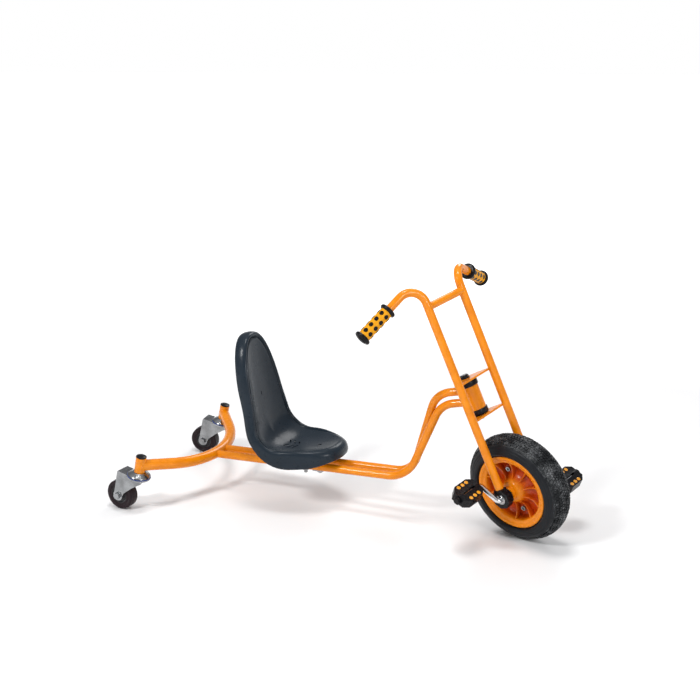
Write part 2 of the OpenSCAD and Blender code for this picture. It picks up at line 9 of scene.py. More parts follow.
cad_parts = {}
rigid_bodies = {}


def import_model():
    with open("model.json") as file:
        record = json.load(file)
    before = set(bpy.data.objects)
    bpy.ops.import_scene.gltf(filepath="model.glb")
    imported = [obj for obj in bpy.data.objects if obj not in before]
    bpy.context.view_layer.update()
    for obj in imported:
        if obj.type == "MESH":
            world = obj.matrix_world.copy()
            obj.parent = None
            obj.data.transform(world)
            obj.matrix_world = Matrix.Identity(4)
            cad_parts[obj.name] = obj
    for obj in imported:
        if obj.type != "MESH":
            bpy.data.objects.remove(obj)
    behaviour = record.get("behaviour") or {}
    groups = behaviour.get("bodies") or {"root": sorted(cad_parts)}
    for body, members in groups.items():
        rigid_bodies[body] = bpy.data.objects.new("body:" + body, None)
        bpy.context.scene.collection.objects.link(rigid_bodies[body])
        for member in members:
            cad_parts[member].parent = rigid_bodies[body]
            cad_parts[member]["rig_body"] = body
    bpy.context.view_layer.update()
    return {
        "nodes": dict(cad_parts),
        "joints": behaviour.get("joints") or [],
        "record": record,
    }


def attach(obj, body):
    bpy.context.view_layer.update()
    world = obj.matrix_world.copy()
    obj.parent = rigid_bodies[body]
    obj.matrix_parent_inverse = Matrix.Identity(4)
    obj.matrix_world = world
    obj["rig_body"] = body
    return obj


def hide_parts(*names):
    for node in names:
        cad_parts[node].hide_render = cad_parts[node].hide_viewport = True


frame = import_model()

# Child's low tricycle: the tyre, rims and seat are rebuilt, and every other piece keeps its CAD shape
# with softened edges
mm = 0.001
mergeGap = 0.00001
scene = bpy.context.scene
joints = {j["name"]: j for j in frame["joints"]}


def axesAt(origin, xWay, yWay, zWay):
    turn = Matrix((xWay, yWay, zWay)).transposed()
    return Matrix.Translation(origin) @ turn.to_4x4()


# The steered parts' own frames: forkFrame has Z up the steering axis, wheelFrame has Z along the axle
steerUp = Vector(joints["steering_turn"]["axis"]).normalized()
axleWay = Vector(joints["front_wheel_spin"]["axis"]).normalized()
aheadWay = axleWay.cross(steerUp).normalized()
wheelMiddle = Vector(joints["front_wheel_spin"]["pos_m"])
forkFrame = axesAt(Vector((0, 0, 0)), aheadWay, axleWay, steerUp)
wheelFrame = axesAt(wheelMiddle, aheadWay, -steerUp, axleWay)


# Small node helpers
def newMaterial(name):
    mat = bpy.data.materials.new(name)
    mat.use_nodes = True
    return mat, mat.node_tree, mat.node_tree.nodes["Principled BSDF"]


def setShader(shader, **values):
    for key, value in values.items():
        shader.inputs[key.replace("_", " ")].default_value = value


# Object coordinates, turned into a piece's own frame where a matrix is given
def objectPlace(tree, matrix=None):
    place = tree.nodes.new("ShaderNodeTexCoord")
    if matrix is None:
        return place.outputs["Object"]
    mapping = tree.nodes.new("ShaderNodeMapping")
    mapping.vector_type = "POINT"
    back = matrix.inverted()
    mapping.inputs["Rotation"].default_value = back.to_euler("XYZ")
    mapping.inputs["Location"].default_value = back.translation
    tree.links.new(place.outputs["Object"], mapping.inputs["Vector"])
    return mapping.outputs["Vector"]


def noiseAt(tree, place, scale, detail=4.0, rough=0.55, distortion=0.0):
    grain = tree.nodes.new("ShaderNodeTexNoise")
    grain.inputs["Scale"].default_value = scale
    grain.inputs["Detail"].default_value = detail
    grain.inputs["Roughness"].default_value = rough
    grain.inputs["Distortion"].default_value = distortion
    tree.links.new(place, grain.inputs["Vector"])
    return grain.outputs["Fac"]


def rampOf(tree, value, stops):
    ramp = tree.nodes.new("ShaderNodeValToRGB")
    points = ramp.color_ramp.elements
    while len(points) < len(stops):
        points.new(0.5)
    for point, (at, colour) in zip(points, stops):
        point.position = at
        point.color = (*colour, 1.0)
    tree.links.new(value, ramp.inputs["Fac"])
    return ramp.outputs["Color"]


def rangeOf(tree, value, low, high, fromLow=0.3, fromHigh=0.7):
    span = tree.nodes.new("ShaderNodeMapRange")
    for key, number in (("From Min", fromLow), ("From Max", fromHigh), ("To Min", low), ("To Max", high)):
        span.inputs[key].default_value = number
    tree.links.new(value, span.inputs["Value"])
    return span.outputs["Result"]


def bumpFrom(tree, shader, value, strength, distance, before=None):
    bump = tree.nodes.new("ShaderNodeBump")
    bump.inputs["Strength"].default_value = strength
    bump.inputs["Distance"].default_value = distance
    tree.links.new(value, bump.inputs["Height"])
    if before is not None:
        tree.links.new(before, bump.inputs["Normal"])
    tree.links.new(bump.outputs["Normal"], shader.inputs["Normal"])
    return bump.outputs["Normal"]


def cellsAt(tree, place, scale, feature="F1", randomness=1.0):
    cells = tree.nodes.new("ShaderNodeTexVoronoi")
    cells.feature = feature
    cells.inputs["Scale"].default_value = scale
    cells.inputs["Randomness"].default_value = randomness
    tree.links.new(place, cells.inputs["Vector"])
    return cells.outputs["Distance"]


# Distance along the axle, either way from the wheel's middle
def offMiddle(tree, place):
    apart = tree.nodes.new("ShaderNodeSeparateXYZ")
    tree.links.new(place, apart.inputs["Vector"])
    off = tree.nodes.new("ShaderNodeMath")
    off.operation = "ABSOLUTE"
    tree.links.new(apart.outputs["Z"], off.inputs[0])
    return off.outputs[0]


# Finishes
# A moulded, painted or plated surface: mottled colour, uneven gloss and a fine surface grain
def plainFinish(name, colours, roughness, grainScale, bumpHeight, bumpStrength=0.3, **shaderValues):
    mat, tree, shader = newMaterial(name)
    place = objectPlace(tree)
    cloud = noiseAt(tree, place, grainScale / 12, detail=5.0)
    tree.links.new(rampOf(tree, cloud, [(0.32, colours[0]), (0.68, colours[1])]), shader.inputs["Base Color"])
    smear = noiseAt(tree, place, grainScale / 4, detail=6.0, rough=0.65)
    tree.links.new(rangeOf(tree, smear, *roughness), shader.inputs["Roughness"])
    bumpFrom(tree, shader, noiseAt(tree, place, grainScale, detail=3.0), bumpStrength, bumpHeight)
    setShader(shader, **shaderValues)
    return mat


orangePaint = plainFinish(
    "orangePaint", ((0.70, 0.200, 0.001), (0.80, 0.250, 0.003)), (0.20, 0.32), 520, 0.00012,
    bumpStrength=0.12, Coat_Weight=0.45, Coat_Roughness=0.04, Specular_IOR_Level=0.12)
blackPlastic = plainFinish(
    "blackPlastic", ((0.004, 0.004, 0.005), (0.010, 0.010, 0.012)), (0.20, 0.36), 900, 0.00018,
    Specular_IOR_Level=0.16)
gripRubber = plainFinish(
    "gripRubber", ((0.66, 0.27, 0.002), (0.76, 0.33, 0.004)), (0.38, 0.52), 700, 0.0002,
    Specular_IOR_Level=0.18)
blackRubber = plainFinish(
    "blackRubber", ((0.002, 0.002, 0.003), (0.007, 0.007, 0.008)), (0.22, 0.40), 800, 0.0002,
    Specular_IOR_Level=0.16)
chromePlate = plainFinish(
    "chromePlate", ((0.62, 0.63, 0.65), (0.78, 0.78, 0.79)), (0.10, 0.20), 300, 0.00005,
    bumpStrength=0.15, Metallic=1.0)
zincPlate = plainFinish(
    "zincPlate", ((0.22, 0.225, 0.23), (0.42, 0.43, 0.44)), (0.14, 0.30), 420, 0.00012, Metallic=1.0)
blueSeal = plainFinish(
    "blueSeal", ((0.010, 0.030, 0.150), (0.016, 0.045, 0.210)), (0.34, 0.48), 600, 0.0001)
castorRubber = plainFinish(
    "castorRubber", ((0.010, 0.005, 0.007), (0.020, 0.011, 0.014)), (0.34, 0.50), 500, 0.00015,
    Specular_IOR_Level=0.18)
greyNylon = plainFinish(
    "greyNylon", ((0.030, 0.030, 0.032), (0.055, 0.055, 0.058)), (0.36, 0.50), 700, 0.00012,
    Specular_IOR_Level=0.25)


# Orange moulded plastic, with painted shade that makes it deeper in colour down in the pockets between the ribs
def rimFinish():
    mat, tree, shader = newMaterial("rimMoulding")
    place = objectPlace(tree, wheelFrame)
    # Painted shade: the colour darkens towards the wheel's middle, down in the pockets, and brightens out on the
    # rib tops and lip
    depth = rangeOf(tree, offMiddle(tree, place), 0.0, 1.0, fromLow=0.006, fromHigh=0.026)
    cloud = noiseAt(tree, place, 40, detail=5.0)
    blend = tree.nodes.new("ShaderNodeMath")
    blend.operation = "MULTIPLY_ADD"
    blend.inputs[1].default_value = 0.16
    tree.links.new(cloud, blend.inputs[0])
    tree.links.new(depth, blend.inputs[2])
    colour = rampOf(tree, blend.outputs[0], [(0.05, (0.44, 0.040, 0.001)), (0.50, (0.62, 0.105, 0.002)),
                                             (0.85, (0.80, 0.235, 0.003))])
    tree.links.new(colour, shader.inputs["Base Color"])
    smear = noiseAt(tree, place, 90, detail=6.0, rough=0.65)
    tree.links.new(rangeOf(tree, smear, 0.20, 0.34), shader.inputs["Roughness"])
    bumpFrom(tree, shader, noiseAt(tree, place, 380, detail=3.0), 0.2, 0.0001)
    setShader(shader, Specular_IOR_Level=0.25, Coat_Weight=0.1, Coat_Roughness=0.1)
    return mat


# Dark moulded shell with a fine leathery grain and slight scuffs
def seatFinish():
    mat, tree, shader = newMaterial("seatMoulding")
    place = objectPlace(tree)
    cloud = noiseAt(tree, place, 18, detail=6.0)
    tree.links.new(rampOf(tree, cloud, [(0.3, (0.011, 0.018, 0.026)), (0.7, (0.016, 0.024, 0.034))]),
                   shader.inputs["Base Color"])
    smear = noiseAt(tree, place, 60, detail=7.0, rough=0.7)
    tree.links.new(rangeOf(tree, smear, 0.24, 0.36), shader.inputs["Roughness"])
    grain = cellsAt(tree, place, 1100)
    soft = bumpFrom(tree, shader, noiseAt(tree, place, 240, detail=3.0), 0.06, 0.00025)
    bumpFrom(tree, shader, grain, 0.12, 0.0001, before=soft)
    setShader(shader, Specular_IOR_Level=0.15, Coat_Weight=0.08, Coat_Roughness=0.12)
    return mat


# Black rubber: smooth dark walls, and a tread with pale grey specks and pale scrawls
def tyreFinish():
    mat, tree, shader = newMaterial("tyreRubber")
    place = objectPlace(tree, wheelFrame)
    onTread = rangeOf(tree, offMiddle(tree, place), 1.0, 0.0, fromLow=0.0252, fromHigh=0.0275)
    cloud = noiseAt(tree, place, 45, detail=7.0, rough=0.7)
    # Fine noise that sets the pale grey specks on the tread, and the roughness
    speckle = noiseAt(tree, place, 420, detail=4.0, rough=0.7)
    mixed = tree.nodes.new("ShaderNodeMath")
    mixed.operation = "MULTIPLY"
    tree.links.new(cloud, mixed.inputs[0])
    tree.links.new(speckle, mixed.inputs[1])
    specks = rampOf(tree, mixed.outputs[0], [(0.14, (0.003, 0.004, 0.005)), (0.26, (0.016, 0.018, 0.020)),
                                            (0.38, (0.120, 0.125, 0.130))])
    scrawl = noiseAt(tree, place, 150, detail=2.0, distortion=2.2)
    lines = rampOf(tree, scrawl, [(0.480, (0.0, 0.0, 0.0)), (0.50, (0.24, 0.245, 0.25)),
                                  (0.520, (0.0, 0.0, 0.0))])
    treadMarks = tree.nodes.new("ShaderNodeMix")
    treadMarks.data_type = "RGBA"
    treadMarks.blend_type = "ADD"
    tree.links.new(rangeOf(tree, cloud, 0.0, 1.0, fromLow=0.46, fromHigh=0.56), treadMarks.inputs["Factor"])
    tree.links.new(specks, treadMarks.inputs["A"])
    tree.links.new(lines, treadMarks.inputs["B"])
    wall = rampOf(tree, cloud, [(0.35, (0.003, 0.004, 0.006)), (0.65, (0.007, 0.009, 0.012))])
    colour = tree.nodes.new("ShaderNodeMix")
    colour.data_type = "RGBA"
    tree.links.new(onTread, colour.inputs["Factor"])
    tree.links.new(wall, colour.inputs["A"])
    tree.links.new(treadMarks.outputs["Result"], colour.inputs["B"])
    tree.links.new(colour.outputs["Result"], shader.inputs["Base Color"])
    tree.links.new(rangeOf(tree, speckle, 0.32, 0.52), shader.inputs["Roughness"])
    bumpFrom(tree, shader, noiseAt(tree, place, 900, detail=3.0), 0.2, 0.0003)
    setShader(shader, Specular_IOR_Level=0.22)
    return mat


# Amber lens over a fine pattern of prisms
def reflectorFinish():
    mat, tree, shader = newMaterial("amberReflector")
    place = objectPlace(tree)
    cells = cellsAt(tree, place, 620, randomness=0.15)
    tree.links.new(rampOf(tree, cells, [(0.1, (0.86, 0.40, 0.012)), (0.75, (0.62, 0.22, 0.004))]),
                   shader.inputs["Base Color"])
    smear = noiseAt(tree, place, 300)
    tree.links.new(rangeOf(tree, smear, 0.10, 0.22), shader.inputs["Roughness"])
    bumpFrom(tree, shader, cells, 0.35, 0.0004)
    setShader(shader, Specular_IOR_Level=0.7, Coat_Weight=0.6, Coat_Roughness=0.05)
    return mat


rimOrange = rimFinish()
seatMoulding = seatFinish()
tyreRubber = tyreFinish()
amberReflector = reflectorFinish()
print("finishes made")


# Building helpers
def finishPiece(name, bm, body, material, replaces, place=None, sharpAt=35):
    if place is not None:
        bmesh.ops.transform(bm, matrix=place, verts=bm.verts)
    bmesh.ops.remove_doubles(bm, verts=bm.verts, dist=mergeGap)
    bmesh.ops.recalc_face_normals(bm, faces=bm.faces)
    mesh = bpy.data.meshes.new(name)
    bm.to_mesh(mesh)
    bm.free()
    for face in mesh.polygons:
        face.use_smooth = True
    mesh.set_sharp_from_angle(angle=math.radians(sharpAt))
    mesh.materials.append(material)
    piece = bpy.data.objects.new(name, mesh)
    scene.collection.objects.link(piece)
    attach(piece, body)
    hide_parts(*replaces)
    return piece


def softenEdges(piece, width, angle, harden):
    bevel = piece.modifiers.new("softEdges", "BEVEL")
    bevel.width = width
    bevel.segments = 2
    bevel.limit_method = "ANGLE"
    bevel.angle_limit = math.radians(angle)
    bevel.harden_normals = harden


# Stands for a CAD node: the same shape, merged, smooth-shaded and with its edges softened
cadSkin = {"sliver": 0.000005, "flatAngle": 0.8, "sharpAt": 35}


def smoothCopy(node, material, edge):
    bm = bmesh.new()
    bm.from_mesh(frame["nodes"][node].data)
    bmesh.ops.remove_doubles(bm, verts=bm.verts, dist=mergeGap)
    bmesh.ops.dissolve_degenerate(bm, edges=bm.edges, dist=cadSkin["sliver"])
    bmesh.ops.dissolve_limit(bm, angle_limit=math.radians(cadSkin["flatAngle"]), verts=bm.verts, edges=bm.edges)
    piece = finishPiece(node + "_skin", bm, frame["nodes"][node]["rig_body"], material,
                        replaces=(node,), sharpAt=cadSkin["sharpAt"])
    if edge:
        softenEdges(piece, edge, cadSkin["sharpAt"], harden=True)


# Turns a closed outline of (radius, along) points round the Z axis into a solid ring
def spunProfile(bm, points, steps):
    verts = [bm.verts.new((r, 0, z)) for r, z in points]
    edges = [bm.edges.new((verts[i], verts[(i + 1) % len(verts)])) for i in range(len(verts))]
    bmesh.ops.spin(bm, geom=verts + edges, cent=(0, 0, 0), axis=(0, 0, 1), angle=2 * math.pi, steps=steps,
                   use_merge=True, use_normal_flip=False, use_duplicate=False)


# Boxes and pegs in millimetres, put in place by a matrix
def addBox(bm, size, place):
    made = bmesh.ops.create_cube(bm, size=1.0)["verts"]
    bmesh.ops.scale(bm, vec=[side * mm for side in size], verts=made)
    bmesh.ops.transform(bm, matrix=place, verts=made)


def addPeg(bm, radius, topRadius, tall, place, segments=32):
    made = bmesh.ops.create_cone(bm, cap_ends=True, segments=segments, radius1=radius * mm,
                                 radius2=topRadius * mm, depth=tall * mm)["verts"]
    bmesh.ops.transform(bm, matrix=place, verts=made)


def looseObject(name, bm):
    mesh = bpy.data.meshes.new(name)
    bm.to_mesh(mesh)
    bm.free()
    made = bpy.data.objects.new(name, mesh)
    scene.collection.objects.link(made)
    return made


# Joins or cuts one mesh with another for good
def combine(piece, other, how):
    join = piece.modifiers.new("join", "BOOLEAN")
    join.operation = how
    join.object = other
    join.solver = "MANIFOLD"
    graph = bpy.context.evaluated_depsgraph_get()
    mesh = bpy.data.meshes.new_from_object(piece.evaluated_get(graph))
    piece.modifiers.clear()
    old = piece.data
    piece.data = mesh
    bpy.data.meshes.remove(old)
    bpy.data.objects.remove(other)


# Front tyre
tyre = {
    "sectionMiddle": 79.0, "sectionRadius": 33.4, "treadDepth": 2.4, "rimRadius": 78.6, "beadOut": 23.3,
    "roundSteps": 160, "rows": 9, "rowStep": 9.6, "rowTwist": 14, "rowShift": 0.1, "edgeRowWiden": 1.15,
    "knobsRound": 112, "knobTall": 3.6, "knobAlong": 4.5, "knobAcross": 4.4, "knobTaper": 0.78, "knobRoot": 1.76,
    "knobTurn": 38, "knobSlide": 0.9, "knobSink": 0.5, "knobSizes": (0.82, 1.12), "seed": 7,
}


# Half outline from the bead to the crown, as (radius, out from the middle) in millimetres
def tyreOutline():
    middle = tyre["sectionMiddle"]
    section = tyre["sectionRadius"]
    half = [(66, 19), (66, tyre["beadOut"]), (77.6, tyre["beadOut"]), (tyre["rimRadius"], 25.0), (79.0, 28.6),
            (80.2, 31.2), (82.4, 32.7)]
    ridges = {14: 0.0, 15.5: -0.35, 17: 0.0, 22: 0.0, 23.5: -0.35, 25: 0.0, 34: 0.0, 35: -0.3, 36: 0.0}
    for angle in (9, 14, 15.5, 17, 19.5, 22, 23.5, 25, 29.5, 34, 35, 36, 40):
        r = section + ridges.get(angle, 0.0)
        a = math.radians(angle)
        half.append((middle + r * math.sin(a), r * math.cos(a)))
    low = section - tyre["treadDepth"]
    for angle in (42.5, 50, 58, 66, 74, 82):
        a = math.radians(angle)
        half.append((middle + low * math.sin(a), low * math.cos(a)))
    return half, (middle + low, 0.0)


# One ring of knobs, all alike, round the tyre
def addKnobRow(bm, row, dice):
    count = tyre["knobsRound"]
    tilt = math.radians((row - (tyre["rows"] - 1) / 2) * tyre["rowStep"])
    widen = tyre["edgeRowWiden"] if row in (0, tyre["rows"] - 1) else 1.0
    made = bmesh.ops.create_cube(bm, size=1.0)["verts"]
    bmesh.ops.scale(bm, vec=(tyre["knobTall"] * mm, tyre["knobAlong"] * mm, tyre["knobAcross"] * widen * mm),
                    verts=made)
    tops = [v for v in made if v.co.x > 0]
    bmesh.ops.scale(bm, vec=(1.0, tyre["knobTaper"], tyre["knobTaper"]), verts=tops)
    twist = Matrix.Rotation(math.radians(dice.uniform(-tyre["rowTwist"], tyre["rowTwist"])), 3, "X")
    bmesh.ops.rotate(bm, cent=(0, 0, 0), matrix=twist, verts=made)
    bmesh.ops.translate(bm, vec=((tyre["sectionRadius"] - tyre["knobRoot"]) * mm, 0, 0), verts=made)
    bmesh.ops.rotate(bm, cent=(0, 0, 0), matrix=Matrix.Rotation(-tilt, 3, "Y"), verts=made)
    bmesh.ops.translate(bm, vec=(tyre["sectionMiddle"] * mm, 0, 0), verts=made)
    shift = 0.5 * (row % 2) + dice.uniform(-tyre["rowShift"], tyre["rowShift"])
    start = Matrix.Rotation(2 * math.pi / count * shift, 3, "Z")
    bmesh.ops.rotate(bm, cent=(0, 0, 0), matrix=start, verts=made)
    faces = list({f for v in made for f in v.link_faces})
    edges = list({e for v in made for e in v.link_edges})
    bmesh.ops.spin(bm, geom=made + edges + faces, cent=(0, 0, 0), axis=(0, 0, 1),
                   angle=2 * math.pi * (count - 1) / count, steps=count - 1, use_duplicate=True,
                   use_merge=False, use_normal_flip=False)


# Turns, slides and sizes each knob on its own, so that no two are quite alike
def varyKnobs(bm, first, dice):
    corners = 8
    bm.verts.ensure_lookup_table()
    knobs = bm.verts[first:]
    for n in range(0, len(knobs), corners):
        knob = knobs[n:n + corners]
        centre = sum((v.co for v in knob), Vector()) / corners
        ring = Vector((centre.x, centre.y, 0)).normalized() * tyre["sectionMiddle"] * mm
        out = (centre - ring).normalized()
        turn = Matrix.Rotation(math.radians(dice.uniform(-tyre["knobTurn"], tyre["knobTurn"])), 3, out)
        slide = Vector([dice.uniform(-tyre["knobSlide"], tyre["knobSlide"]) * mm for _ in range(3)])
        slide -= out * (slide.dot(out) + dice.uniform(0, tyre["knobSink"]) * mm)
        size = dice.uniform(*tyre["knobSizes"])
        for v in knob:
            off = turn @ (v.co - centre)
            high = out * off.dot(out)
            v.co = centre + high + (off - high) * size + slide


def buildTyre():
    bm = bmesh.new()
    half, crown = tyreOutline()
    inner = [(104, 0), (98, 17), (86, 26), (80, 21), (70, 17)]
    outline = half + [crown] + [(r, -z) for r, z in reversed(half)]
    outline += [(r, -z) for r, z in reversed(inner)] + inner[1:]
    spunProfile(bm, [(r * mm, z * mm) for r, z in outline], tyre["roundSteps"])
    dice = random.Random(tyre["seed"])
    for row in range(tyre["rows"]):
        first = len(bm.verts)
        addKnobRow(bm, row, dice)
        varyKnobs(bm, first, dice)
    finishPiece("tyre_carcass_and_tread", bm, "front_wheel", tyreRubber, replaces=("tyre",),
                place=wheelFrame, sharpAt=32)


buildTyre()
print("tyre made")

# Rims
rim = {
    "edge": 77.0, "half": 28.7, "bore": 5.05, "roundSteps": 120, "softEdge": 0.7, "sharpAt": 38,
    "ribs": 10, "ribThick": 2.6, "ribRoot": 1.25, "ribTop": 0.8, "ribRootUpTo": 5,
    "boltAngles": (90, 270), "boltRadius": 43.0, "boltHole": 3.1, "bossFoot": 9.0, "bossTop": 7.2, "bossTall": 5,
    "bossMiddle": 4.6, "valveAngle": 150, "valveRadius": 75, "valveHole": 4,
}


# Section of one rim half, as (radius, out from the middle) in millimetres
def rimOutline():
    e, h = rim["edge"], rim["half"]
    return [(rim["bore"], 0.1), (e - 21, 0.1), (e - 13.5, 3), (e - 9, h - 9), (e - 2, h - 5), (e - 0.3, h - 4),
            (e, h - 3), (e, h - 1.2), (e - 0.5, h - 0.4), (e - 1.4, h), (e - 4.6, h), (e - 6.2, h - 0.6),
            (e - 7.4, h - 1.9), (e - 10.2, h - 3.3), (e - 12.8, h - 4.2), (e - 14.2, h - 5.2), (e - 15, h - 6.8),
            (e - 16.6, 10), (e - 17.6, 7), (e - 20, 5), (e - 24, 4), (42, 4), (37, 4.9), (32.5, 7.4), (29, 11),
            (26.2, 15.5), (23.6, 20.2), (21.6, 23.4), (19.4, 25.6), (15, 26.4), (13.4, 26.8), (13, 28.4),
            (12.4, 34.2), (11.6, 34.7), (rim["bore"], 34.7)]


# Tapered ribs that stand in the rim's dish
def addRibs(bm):
    e, h = rim["edge"], rim["half"]
    ribSide = [(19, 2), (e - 15, 2), (e - 13, h - 6.5), (e - 16, h - 7.5), (e - 24, h - 11.5), (44, h - 14.5),
               (33, h - 14), (27, h - 11), (21, h - 5.5)]
    for i in range(rim["ribs"]):
        verts = [bm.verts.new((r * mm, -rim["ribThick"] / 2 * mm, z * mm)) for r, z in ribSide]
        made = bmesh.ops.extrude_face_region(bm, geom=[bm.faces.new(verts)])["geom"]
        moved = [g for g in made if isinstance(g, bmesh.types.BMVert)]
        bmesh.ops.translate(bm, vec=(0, rim["ribThick"] * mm, 0), verts=moved)
        for v in verts + moved:
            v.co.y *= rim["ribRoot"] if v.co.z < rim["ribRootUpTo"] * mm else rim["ribTop"]
        turn = Matrix.Rotation(2 * math.pi * i / rim["ribs"], 4, "Z")
        bmesh.ops.transform(bm, matrix=turn, verts=verts + moved)
    bmesh.ops.recalc_face_normals(bm, faces=bm.faces)


def buildRim(side):
    name = "left" if side > 0 else "right"
    bm = bmesh.new()
    spunProfile(bm, [(r * mm, z * mm) for r, z in rimOutline()], rim["roundSteps"])
    bmesh.ops.remove_doubles(bm, verts=bm.verts, dist=mergeGap)
    bmesh.ops.recalc_face_normals(bm, faces=bm.faces)
    shell = looseObject("rimShell", bm)
    ribs, bosses, holes = bmesh.new(), bmesh.new(), bmesh.new()
    addRibs(ribs)
    for angle in rim["boltAngles"]:
        turn = Matrix.Rotation(math.radians(angle), 4, "Z")
        atBoss = turn @ Matrix.Translation((rim["boltRadius"] * mm, 0, rim["bossMiddle"] * mm))
        atHole = turn @ Matrix.Translation((rim["boltRadius"] * mm, 0, 0))
        addPeg(bosses, rim["bossFoot"], rim["bossTop"], rim["bossTall"], atBoss, segments=40)
        addPeg(holes, rim["boltHole"], rim["boltHole"], 30, atHole)
    toValve = Matrix.Rotation(math.radians(rim["valveAngle"]), 4, "Z") @ Matrix.Rotation(math.pi / 2, 4, "Y")
    atValve = toValve @ Matrix.Translation((0, 0, rim["valveRadius"] * mm))
    addPeg(holes, rim["valveHole"], rim["valveHole"], 60, atValve)
    combine(shell, looseObject("rimRibs", ribs), "UNION")
    combine(shell, looseObject("rimBosses", bosses), "UNION")
    combine(shell, looseObject("rimHoles", holes), "DIFFERENCE")
    bm = bmesh.new()
    bm.from_mesh(shell.data)
    bpy.data.objects.remove(shell)
    if side < 0:
        bmesh.ops.scale(bm, vec=(1, 1, -1), verts=bm.verts)
    piece = finishPiece(f"rim_{name}_moulding", bm, "front_wheel", rimOrange,
                        replaces=(f"rim_{name}",), place=wheelFrame, sharpAt=rim["sharpAt"])
    softenEdges(piece, rim["softEdge"] * mm, rim["sharpAt"], harden=False)


for side in (1, -1):
    buildRim(side)
print("rims made")

# Seat
seat = {
    "frontX": -396.0, "frontZ": 134.0, "baseLength": 112.0, "cornerRadius": 65.0, "baseRise": 4.5,
    "backLean": 12.0, "backLength": 193.0, "hipHalf": 92.0, "backHalf": 78.0, "dish": 11.0, "skirt": 30.0,
    "wall": 4.0, "round": 160, "endCorner": 0.86, "backCorner": 0.84, "frontCorner": 0.78, "middleShare": 0.42,
    "noseFrom": 10, "noseOver": 85, "grooveMiddle": -513, "grooveStep": 10.5, "grooveApart": 2.6,
    "grooveWide": 3.2, "grooveTurn": 66, "slotSize": (40, 3.0, 9), "slotAt": (-585, 234),
    "panHole": 4.2, "panHoleAt": (-453, 131),
}
seatTurn = math.radians(90 + seat["baseRise"] - seat["backLean"])
seatArc = seat["cornerRadius"] * seatTurn
seatTotal = seat["baseLength"] + seatArc + seat["backLength"]


def smoothStep(t):
    t = min(max(t, 0.0), 1.0)
    return t * t * (3 - 2 * t)


def signPow(v, p):
    return math.copysign(abs(v) ** p, v)


# Point on the middle line of the seat, s from the front edge, and the direction towards the sitter
def seatSpine(s):
    rise, lean = math.radians(seat["baseRise"]), math.radians(seat["backLean"])
    start = Vector((seat["frontX"], seat["frontZ"]))
    along = Vector((-math.cos(rise), -math.sin(rise)))
    a = min(max((s - seat["baseLength"]) / seatArc, 0.0), 1.0) * seatTurn
    up = Vector((math.sin(a - rise), math.cos(a - rise)))
    if s < seat["baseLength"]:
        return start + along * s, up
    corner = start + along * seat["baseLength"] + Vector((-math.sin(rise), math.cos(rise))) * seat["cornerRadius"]
    point = corner - up * seat["cornerRadius"]
    over = max(s - seat["baseLength"] - seatArc, 0.0)
    return point + Vector((-math.sin(lean), math.cos(lean))) * over, up


# Point on the outer edge, as (across, s), at an angle round the seat
def seatOutline(a):
    s = seatTotal / 2 - seatTotal / 2 * signPow(math.cos(a), seat["endCorner"])
    half = seat["hipHalf"] + (seat["backHalf"] - seat["hipHalf"]) * smoothStep((s - 150) / 120)
    power = seat["backCorner" if math.pi / 2 < a < 1.5 * math.pi else "frontCorner"]
    return Vector((half * signPow(math.sin(a), power), s))


# How much of the skirt's depth there is at s
def edgeShare(s):
    return 0.9 + 0.3 * smoothStep(s / 60) - 0.57 * smoothStep((s - 95) / 85) + 0.13 * smoothStep((s - 220) / 90)


# The ith point round one ring of the shell
def seatPoint(i, fill, out, up, frontOut=None, frontUp=None):
    a = 2 * math.pi * (i % seat["round"]) / seat["round"] + 0.05
    p = seatOutline(a)
    if frontUp is not None:
        front = 1 - smoothStep((p.y - seat["noseFrom"]) / seat["noseOver"])
        out += (frontOut - out) * front
        up += (frontUp - up) * front
    d = seatOutline(a + 0.018) - seatOutline(a - 0.018)
    outward = Vector((d.y, -d.x)).normalized()
    middle = Vector((0, seatTotal * seat["middleShare"]))
    e = middle + (p - middle + out * outward) * fill
    lift = seat["dish"] * min(fill, 1.0) ** 3 + (up * edgeShare(e.y) if up < -8 else up)
    spot, normal = seatSpine(e.y)
    return Vector((spot.x + normal.x * lift, e.x, spot.y + normal.y * lift)) * mm


# Each ring as (fill, out, up) in millimetres, from the middle of the top to the middle of the underside,
# with the (out, up) it takes at the front edge, where the rolled rim melts into a plain rounded nose
def seatRings():
    t, deep = seat["wall"], seat["skirt"]
    top = [(f, -16, 0) for f in (0, 0.08, 0.2, 0.32, 0.44, 0.56, 0.66, 0.75, 0.83, 0.9, 0.95, 0.98)]
    roll = [(1, -16, 0, -16, 0), (1, -14.8, -0.5, -14.8, -0.1), (1, -13.9, -2.2, -13.9, -0.3),
            (1, -13.1, -3.1, -13.1, -0.5), (1, -12.3, -2.8, -12.3, -0.7), (1, -11.4, -1.2, -11.4, -1.0),
            (1, -10, 1.0, -10.2, -1.6), (1, -8, 2.6, -8.4, -2.7), (1, -6, 2.9, -6.6, -4.1),
            (1, -4.2, 2.0, -4.8, -6.0), (1, -2.6, 0.2, -3.2, -8.3), (1, -1.4, -2.6, -1.9, -11.0),
            (1, -0.6, -6.5, -1.0, -13.9),
            (1, -0.2, -0.38 * deep, -0.4, -16.8), (1, 0, -0.62 * deep, 0, -20.5),
            (1, -0.5, -0.85 * deep, -0.5, -0.86 * deep), (1, -1.5, -0.97 * deep), (1, -2.9, -deep),
            (1, -4.2, -0.97 * deep), (1, -4.4, -0.85 * deep), (1, -3.8, -0.5 * deep, -5.0, -0.6 * deep),
            (1, -5, -6, -8.0, -10.5), (1, -9.5, -t, -11.0, -7.4),
            (1, -13, -t - 2.6, -13.4, -6.0), (1, -16.5, -t - 0.4, -16.5, -t - 0.4)]
    under = [(f, -16, -t) for f in (0.95, 0.85, 0.7, 0.5, 0.3, 0.12, 0)]
    return top + roll + under


